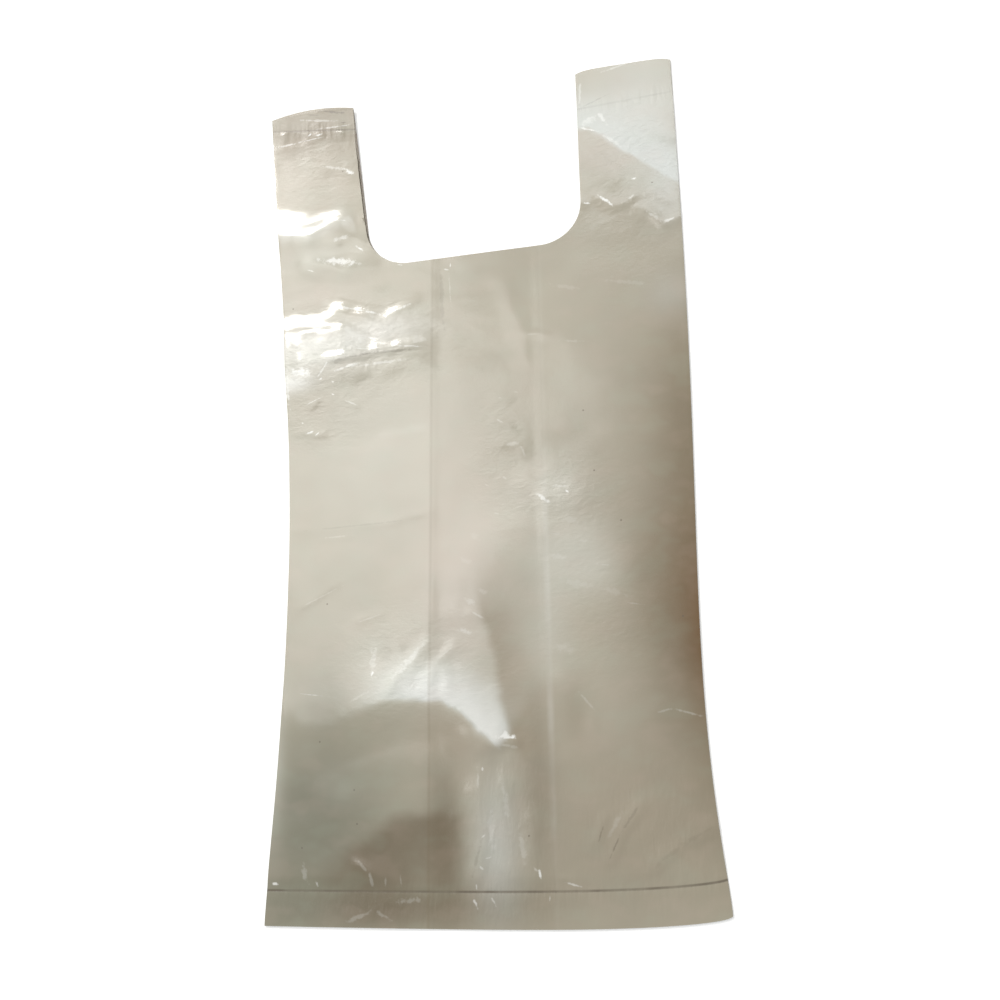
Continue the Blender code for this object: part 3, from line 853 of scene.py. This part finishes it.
def stroke_values(x, place_y, strokes):
    """For each point: how far along and across its stroke it is, and the stroke's share."""
    across, along = (x - LEFT) / MM, place_y / MM
    values = np.zeros(x.shape + (3,))
    for share, half_length, half_width, turn, middle in strokes:
        run_x, run_y = math.cos(math.radians(turn)), math.sin(math.radians(turn))
        run = (across - middle[0]) * run_x + (along - middle[1]) * run_y
        over = (along - middle[1]) * run_x - (across - middle[0]) * run_y
        past_end = np.maximum(np.abs(run) - STROKE_EDGE * half_length, 0)
        past_side = np.maximum(np.abs(over) - STROKE_EDGE * half_width, 0)
        past = np.hypot(past_end, past_side)
        kept = past < 2 * STROKE_REACH
        shown = share * (past < STROKE_REACH)
        values[kept] = np.stack((run / half_length, over / half_width, shown), axis=-1)[kept]
    return values


def crumpling(x, place_y):
    """How crumpled the film is at each point, from 0 to 1."""
    across, along = (x - LEFT) / MM, place_y / MM
    calm = np.ones(x.shape)
    for share, middle, reach in CRUMPLED:
        calm *= 1 - share * patch(across, along, middle, reach)
    return 1 - calm


def tones(x, place_y, layer):
    """The film's colour at each point, with painted sheen, reflection, highlights and shade among
    its tones.
    """
    across, along = (x - LEFT) / MM, place_y / MM
    colour = np.empty(x.shape + (3,))
    colour[:] = MILKY
    shown = BACK_SHARE + (1 - BACK_SHARE) * ease(layer)
    for tone, share, middle, reach in PATCHES:
        weight = shown * share * patch(across, along, middle, reach)
        colour += (np.array(tone) - colour) * weight[..., None]
    stray_x, stray_y = strayed(across, along)
    for tone, share, *streak in STREAKS:
        weight = shown * fold(stray_x, stray_y, SOFT, share, *streak)
        colour += (np.array(tone) - colour) * weight[..., None]
    mottle = sum(share * wave(across, along, *rest) for share, *rest in MOTTLES)
    colour *= (1 + mottle)[..., None]
    # The layers that lie inside get painted shade.
    hidden = (layer >= 1) & (layer <= 2)
    colour += (np.array(SHADED) - colour) * (HIDDEN_SHADE * hidden)[None, :, None]
    return colour


def add_attribute(mesh, name, kind, values):
    """Stores one value, vector or colour for each point."""
    attribute = mesh.attributes.new(name, kind, "POINT")
    field = {"FLOAT": "value", "FLOAT_VECTOR": "vector", "FLOAT_COLOR": "color"}[kind]
    attribute.data.foreach_set(field, np.ascontiguousarray(values, dtype=np.float32).ravel())


def store_looks(mesh, keep, x, place_y, gap, layer):
    """Stores what the film's material reads at each point."""
    colour = tones(x, place_y, layer).reshape(-1, 3)
    front = np.broadcast_to(np.clip(layer - 2, 0, 1), x.shape)
    # The tone holds the film's colour with its painted sheen, reflection, highlights and shade.
    add_attribute(mesh, "tone", "FLOAT_COLOR", np.c_[colour, np.ones(x.size)][keep])
    add_attribute(mesh, "weld_gap", "FLOAT", gap.ravel()[keep])
    add_attribute(mesh, "front", "FLOAT", front.ravel()[keep])
    add_attribute(mesh, "crumpled", "FLOAT", crumpling(x, place_y).ravel()[keep])
    for name, layers in (("glint", GLINT_LAYERS), ("shadow", SHADOW_LAYERS)):
        for number, strokes in enumerate(layers):
            values = stroke_values(x, place_y, strokes).reshape(-1, 3)[keep]
            add_attribute(mesh, f"{name}_{number}", "FLOAT_VECTOR", values)


def join_points(points, stays):
    """A mesh of the cells that stay, closed round the tube, and the numbers of the points kept."""
    sheet = bmesh.new()
    corners = [sheet.verts.new(point) for point in points]
    count = stays.shape[1]
    for j, i in np.argwhere(stays):
        here, above = j * count, (j + 1) * count
        right_i = (i + 1) % count
        cell = (here + i, above + i, above + right_i, here + right_i)
        sheet.faces.new([corners[number] for number in cell])
    sheet.verts.index_update()
    keep = [v.index for v in sheet.verts if v.link_faces]
    loose = [v for v in sheet.verts if not v.link_faces]
    bmesh.ops.delete(sheet, geom=loose, context="VERTS")
    mesh = bpy.data.meshes.new("carrier_film")
    sheet.to_mesh(mesh)
    sheet.free()
    return mesh, keep


def film_mesh():
    """The sheet of film as one surface, still without thickness."""
    places = np.array(ring_places())
    layer = places[:, 4]
    rows = row_places()
    lines = np.array(side_lines(rows))
    start, end = lines[places[:, 0].astype(int)].T, lines[places[:, 1].astype(int)].T
    x = start + (end - start) * places[:, 2] + places[:, 3] * FOLD_RADIUS
    y = np.repeat(rows[:, None], len(places), axis=1)
    stays = cut_mouth(x, y, layer)
    place_y = bowed(x, y)
    z, gap = levels(x, y, place_y, layer)
    points = zip(x.ravel(), (place_y + BOTTOM_CUT).ravel(), z.ravel())
    mesh, keep = join_points(points, stays)
    store_looks(mesh, keep, x, place_y, gap, layer)
    return mesh


def deselect_all():
    """An operator acts on all that is selected, so nothing is left selected before one."""
    bpy.ops.object.select_all(action="DESELECT")


def make_film():
    """The bag: the folded sheet, thickened on both sides."""
    film = bpy.data.objects.new("carrier_film", film_mesh())
    bpy.context.scene.collection.objects.link(film)
    deselect_all()
    film.select_set(True)
    bpy.context.view_layer.objects.active = film
    thicken = film.modifiers.new("film_thickness", "SOLIDIFY")
    thicken.thickness = FILM
    thicken.offset = 0.0
    bpy.ops.object.modifier_apply(modifier=thicken.name)
    bpy.ops.object.shade_smooth_by_angle(angle=math.radians(60))
    return film


class Nodes:
    """A material's node tree, with short ways to add the nodes that the film needs."""

    def __init__(self, material):
        material.use_nodes = True
        self.tree = material.node_tree
        self.shader = self.tree.nodes["Principled BSDF"]

    def add(self, kind, **settings):
        node = self.tree.nodes.new(kind)
        for name, value in settings.items():
            setattr(node, name, value)
        return node

    def feed(self, socket, value):
        """Links a socket to another, or sets its number or colour."""
        if isinstance(value, bpy.types.NodeSocket):
            self.tree.links.new(value, socket)
        else:
            socket.default_value = value

    def maths(self, operation, first, second=0.0):
        node = self.add("ShaderNodeMath", operation=operation)
        self.feed(node.inputs[0], first)
        self.feed(node.inputs[1], second)
        return node.outputs[0]

    def times(self, first, second):
        return self.maths("MULTIPLY", first, second)

    def size(self, value):
        return self.maths("ABSOLUTE", value)

    def vector(self, operation, first, second):
        node = self.add("ShaderNodeVectorMath", operation=operation)
        self.feed(node.inputs[0], first)
        self.feed(node.inputs[1], second)
        return node.outputs[0]

    def ramp(self, value, start, end, low=0.0, high=1.0):
        """Goes smoothly from low to high as the value goes from start to end."""
        node = self.add("ShaderNodeMapRange", interpolation_type="SMOOTHSTEP")
        for socket, number in zip(node.inputs, (value, start, end, low, high)):
            self.feed(socket, number)
        return node.outputs[0]

    def attribute(self, name):
        return self.add("ShaderNodeAttribute", attribute_name=name)

    def noise(self, place, scale, detail=2.0, roughness=0.5, stretch=(1.0, 1.0, 1.0), turn=0.0):
        mapping = self.add("ShaderNodeMapping")
        self.feed(mapping.inputs["Vector"], place)
        mapping.inputs["Rotation"].default_value = (0.0, 0.0, turn)
        mapping.inputs["Scale"].default_value = stretch
        node = self.add("ShaderNodeTexNoise")
        self.feed(node.inputs["Vector"], mapping.outputs[0])
        node.inputs["Scale"].default_value = scale
        node.inputs["Detail"].default_value = detail
        node.inputs["Roughness"].default_value = roughness
        return node.outputs["Fac"]

    def ridges(self, noise_value):
        """Valleys where a noise crosses its middle value, like creases between facets."""
        return self.size(self.maths("SUBTRACT", noise_value, 0.5))

    def blend(self, share, first, second):
        """Mixes two colours."""
        node = self.add("ShaderNodeMix", data_type="RGBA")
        self.feed(node.inputs["Factor"], share)
        self.feed(node.inputs["A"], first)
        self.feed(node.inputs["B"], second)
        return node.outputs["Result"]


def colour_of(tone):
    """A tone as a socket's colour."""
    return (*tone, 1.0)


def inner_fold_distance(nodes, across, along, foot_x, lean):
    """How far to the right of a gusset's inner fold a point lies."""
    up = nodes.maths("SUBTRACT", along, BOTTOM_CUT)
    fold_x = nodes.maths("ADD", nodes.times(up, lean / BAG_LENGTH), foot_x)
    return nodes.maths("SUBTRACT", across, fold_x)


def draw_inner_folds_shade_and_highlight(nodes, tone, place, across, along, front):
    """The inner folds of the gussets drawn on the front: a slightly browner band between them, a
    thin painted shade line along the left fold and a patchy painted highlight strip by the right
    one, in some places more than in others.
    """
    left_foot, right_foot = LEFT + LEFT_GUSSET_DEPTH, RIGHT - RIGHT_GUSSET_DEPTH
    left_fold = inner_fold_distance(nodes, across, along, left_foot, LEFT_GUSSET_LEAN)
    right_fold = inner_fold_distance(nodes, across, along, right_foot, RIGHT_GUSSET_LEAN)
    past_left = nodes.ramp(left_fold, -0.0006, 0.0006)
    before_right = nodes.ramp(right_fold, 0.0006, -0.0006)
    centre = nodes.times(nodes.times(past_left, before_right), front)
    tone = nodes.blend(nodes.times(centre, CENTRE_SHARE), tone, colour_of(BROWN))
    # Painted shade: a thin dark line along the left inner fold.
    left_line = nodes.ramp(nodes.size(left_fold), 0.0012, 0.0001, 0.0, LEFT_FOLD_SHADE_SHARE)
    tone = nodes.blend(nodes.times(left_line, front), tone, colour_of(BROWN))
    # Painted highlight: a pale strip along the right inner fold.
    right_line = nodes.ramp(nodes.size(right_fold), 0.0024, 0.0002, 0.0, RIGHT_FOLD_HIGHLIGHT_SHARE)
    up = nodes.maths("SUBTRACT", along, BOTTOM_CUT)
    low = nodes.ramp(up, 0.020, 0.075, 0.15, 1.0)
    high = nodes.ramp(up, 0.185, 0.200, 1.0, 0.22)
    patchy = nodes.ramp(nodes.noise(place, 45.0, 2.0, 0.6), 0.35, 0.65, 0.35, 1.0)
    shown = nodes.times(nodes.times(right_line, low), high)
    shown = nodes.times(shown, patchy)
    return nodes.blend(nodes.times(shown, front), tone, colour_of(PAINTED_HIGHLIGHT))


def weld_marks(nodes, place, across, along, gap):
    """How strongly a weld shows: thin, faint on the right handle and patchy along the bottom."""
    line = nodes.ramp(nodes.size(gap), 0.0008, 0.0002)
    patchy = nodes.ramp(nodes.noise(place, 60.0, 2.0, 0.6), 0.35, 0.65, 0.5, 1.0)
    on_handle = nodes.ramp(along, 0.0, 0.01)
    on_right = nodes.ramp(across, -0.01, 0.01, 0.25, 0.65)
    strength = nodes.maths("SUBTRACT", 0.8, nodes.times(on_handle, on_right))
    return nodes.times(nodes.times(line, patchy), strength)


def draw_specks(nodes, tone, across, along, front):
    """Tiny dark specks in the film."""
    flat = nodes.add("ShaderNodeCombineXYZ")
    nodes.feed(flat.inputs["X"], across)
    nodes.feed(flat.inputs["Y"], along)
    for x, y in SPECKS:
        near = nodes.add("ShaderNodeVectorMath", operation="DISTANCE")
        nodes.feed(near.inputs[0], flat.outputs[0])
        near.inputs[1].default_value = (LEFT + x * MM, BOTTOM_CUT + y * MM, 0.0)
        speck = nodes.ramp(near.outputs["Value"], SPECK_RADIUS, SPECK_RADIUS / 3, 0.0, 0.7)
        tone = nodes.blend(nodes.times(speck, front), tone, colour_of(DARK))
    return tone


def draw_strokes(nodes, tone, name, layers, colour, ragged, front):
    """Soft slanted strokes with ragged edges, one layer of them after the other, used for the
    painted shadows and the painted glints.
    """
    for number in range(len(layers)):
        values = nodes.attribute(f"{name}_{number}").outputs["Vector"]
        parts = nodes.add("ShaderNodeSeparateXYZ")
        nodes.feed(parts.inputs[0], values)
        sideways = nodes.vector("MULTIPLY", values, (1.0, 1.0, 0.0))
        length = nodes.add("ShaderNodeVectorMath", operation="LENGTH")
        nodes.feed(length.inputs[0], sideways)
        outwards = nodes.maths("ADD", length.outputs["Value"], ragged)
        weight = nodes.times(nodes.ramp(outwards, 1.1, 0.35), parts.outputs["Z"])
        tone = nodes.blend(nodes.times(weight, front), tone, colour_of(colour))
    return tone


def film_bumps(nodes, place, along, crumpled, gap, weld):
    """Crinkles too fine for the mesh, and the puckers and groove of the welds, in metres."""
    fine = nodes.noise(place, 120.0, 3.0, 0.5)
    high_creases = nodes.noise(place, 150.0, 4.0, 0.5, (1.0, 1.7, 1.0), 0.25)
    low_creases = nodes.noise(place, 150.0, 3.0, 0.5, (1.7, 0.5, 1.0))
    upwards = nodes.ramp(along, BOTTOM_CUT + 0.06, BOTTOM_CUT + 0.09)
    ridged = nodes.add("ShaderNodeMix", data_type="FLOAT")
    nodes.feed(ridged.inputs["Factor"], upwards)
    nodes.feed(ridged.inputs["A"], nodes.ridges(low_creases))
    nodes.feed(ridged.inputs["B"], nodes.ridges(high_creases))
    creased = nodes.times(ridged.outputs["Result"], crumpled)
    crushed = nodes.times(creased, -CREASE_DEPTH)
    height = nodes.maths("ADD", nodes.times(fine, GRAIN_HEIGHT), crushed)
    tucks = nodes.noise(place, 420.0, 2.0, 0.5, (1.0, 0.14, 1.0))
    near_weld = nodes.ramp(nodes.size(gap), 0.008, 0.0005, 0.0, TUCK_HEIGHT)
    height = nodes.maths("ADD", height, nodes.times(tucks, near_weld))
    return nodes.maths("SUBTRACT", height, nodes.times(weld, WELD_GROOVE))


def film_tone(nodes, place, across, along, front, weld):
    """The film's colour, with its inner folds, painted shadows, painted glints, welds and specks.
    """
    rosy = nodes.noise(place, 55.0, 2.0, 0.5, (1.0, 1.5, 1.0))
    tone = nodes.attribute("tone").outputs["Color"]
    tone = nodes.blend(nodes.ramp(rosy, 0.5, 0.7, 0.0, 0.07), tone, colour_of(ROSY))
    tone = nodes.blend(nodes.ramp(rosy, 0.5, 0.3, 0.0, 0.07), tone, colour_of(MOSSY))
    tone = draw_inner_folds_shade_and_highlight(nodes, tone, place, across, along, front)
    ragged = nodes.ramp(nodes.noise(place, 420.0, 2.0, 0.6), 0.3, 0.7, -0.2, 0.5)
    # Painted shadows in creases, then painted glints and highlights.
    tone = draw_strokes(nodes, tone, "shadow", SHADOW_LAYERS, DARK, ragged, front)
    tone = draw_strokes(nodes, tone, "glint", GLINT_LAYERS, PAINTED_HIGHLIGHT, ragged, front)
    tone = nodes.blend(weld, tone, colour_of(DARK))
    return draw_specks(nodes, tone, across, along, front)


def film_material():
    """Milky, glossy film: soft tones with painted sheen, highlights and shade, dark welds, faint
    inner folds, specks and fine crinkles.
    """
    material = bpy.data.materials.new("milky_film")
    nodes = Nodes(material)
    place = nodes.add("ShaderNodeTexCoord").outputs["Object"]
    split = nodes.add("ShaderNodeSeparateXYZ")
    nodes.feed(split.inputs[0], place)
    across, along = split.outputs["X"], split.outputs["Y"]
    front = nodes.attribute("front").outputs["Fac"]
    gap = nodes.attribute("weld_gap").outputs["Fac"]
    crumpled = nodes.attribute("crumpled").outputs["Fac"]
    weld = weld_marks(nodes, place, across, along, gap)
    shader = nodes.shader.inputs
    nodes.feed(shader["Base Color"], film_tone(nodes, place, across, along, front, weld))

    patchy = nodes.noise(place, 55.0, 3.0, 0.6)
    nodes.feed(shader["Roughness"], nodes.ramp(patchy, 0.3, 0.7, ROUGHNESS_LOW, ROUGHNESS_HIGH))
    bump = nodes.add("ShaderNodeBump")
    bump.inputs["Strength"].default_value = 1.0
    bump.inputs["Distance"].default_value = 1.0
    nodes.feed(bump.inputs["Height"], film_bumps(nodes, place, along, crumpled, gap, weld))
    nodes.feed(shader["Normal"], bump.outputs[0])

    shader["IOR"].default_value = FILM_IOR
    shader["Coat Weight"].default_value = COAT_WEIGHT
    shader["Coat Roughness"].default_value = COAT_ROUGHNESS
    shader["Coat IOR"].default_value = COAT_IOR
    return material


# The floor, a hair below the film
FLOOR_SIZE = 6.0
FLOOR_PLACE = (0.0, 0.0, -0.0001)
FLOOR_COLOUR = (0.93, 0.93, 0.92, 1.0)
FLOOR_GLOW = 0.35


def seen_directly(nodes):
    """1 where the camera, a reflection or a view through the film looks, and 0 for light."""
    path = nodes.add("ShaderNodeLightPath")
    seen = nodes.maths("MAXIMUM", path.outputs["Is Camera Ray"], path.outputs["Is Glossy Ray"])
    return nodes.maths("MAXIMUM", seen, path.outputs["Is Transmission Ray"])


def make_floor():
    """A plain white surface."""
    deselect_all()
    bpy.ops.mesh.primitive_plane_add(size=FLOOR_SIZE, location=FLOOR_PLACE)
    floor = bpy.context.object
    floor.name = "floor"
    material = bpy.data.materials.new("white_floor")
    nodes = Nodes(material)
    nodes.shader.inputs["Base Color"].default_value = FLOOR_COLOUR
    nodes.shader.inputs["Roughness"].default_value = 0.9
    nodes.shader.inputs["Specular IOR Level"].default_value = 0.1
    nodes.shader.inputs["Emission Color"].default_value = (1.0, 1.0, 1.0, 1.0)
    glow = nodes.times(seen_directly(nodes), FLOOR_GLOW)
    nodes.feed(nodes.shader.inputs["Emission Strength"], glow)
    floor.data.materials.append(material)


WORLD_COLOUR = (0.97, 0.985, 1.0, 1.0)
WORLD_LIGHT = 0.5


def make_world():
    """Even light from all round, seen as plain white."""
    world = bpy.context.scene.world or bpy.data.worlds.new("studio")
    bpy.context.scene.world = world
    world.use_nodes = True
    tree = world.node_tree
    background = tree.nodes["Background"]
    background.inputs["Color"].default_value = WORLD_COLOUR
    path = tree.nodes.new("ShaderNodeLightPath")
    strength = tree.nodes.new("ShaderNodeMapRange")
    tree.links.new(path.outputs["Is Camera Ray"], strength.inputs["Value"])
    strength.inputs["To Min"].default_value = WORLD_LIGHT
    strength.inputs["To Max"].default_value = 1.0
    tree.links.new(strength.outputs[0], background.inputs["Strength"])


# Softboxes: (name, direction from the bag, distance, width, height, brightness, colour)
SOFTBOXES = (
    ("key_softbox", (-0.40, 0.60, 0.693), 2.5, 0.80, 0.36, 25.0, (1.0, 0.985, 0.95)),
    ("sheen_softbox", (-0.385, 0.272, 0.882), 2.5, 1.10, 0.95, 3.6, (1.0, 0.99, 0.96)),
    ("window_softbox", (-0.04, 0.58, 0.81), 2.5, 0.55, 0.55, 4.2, (0.93, 0.97, 1.0)),
)


def make_softbox(name, direction, distance, width, height, brightness, colour):
    """A lamp that faces the bag, as bright as asked all over its face."""
    away = Vector(direction).normalized()
    turn = away.to_track_quat("Z", "Y").to_euler()
    deselect_all()
    bpy.ops.object.light_add(type="AREA", location=away * distance, rotation=turn)
    lamp = bpy.context.object
    lamp.name = name
    lamp.data.shape = "RECTANGLE"
    lamp.data.size = width
    lamp.data.size_y = height
    lamp.data.energy = brightness * math.pi * width * height
    lamp.data.color = colour


# The camera: place in metres, turn in degrees, lens and sensor in millimetres
CAMERA_PLACE = (0.14351, -0.17024, 0.59003)
CAMERA_TURN = (14.093, 13.161, -1.934)
CAMERA_LENS = 47.78
SENSOR_WIDTH = 36.0
NEAREST_SEEN = 0.01


def make_camera():
    """Above the bag and a little to its right, as the photograph was taken."""
    deselect_all()
    turn = tuple(math.radians(a) for a in CAMERA_TURN)
    bpy.ops.object.camera_add(location=CAMERA_PLACE, rotation=turn)
    camera = bpy.context.object
    camera.data.lens = CAMERA_LENS
    camera.data.sensor_width = SENSOR_WIDTH
    camera.data.clip_start = NEAREST_SEEN
    bpy.context.scene.camera = camera


bpy.context.scene.view_settings.view_transform = "Standard"
film = make_film()
film.data.materials.append(film_material())
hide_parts("carrier_bag")
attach(film, "root")
make_floor()
make_world()
for softbox in SOFTBOXES:
    make_softbox(*softbox)
make_camera()
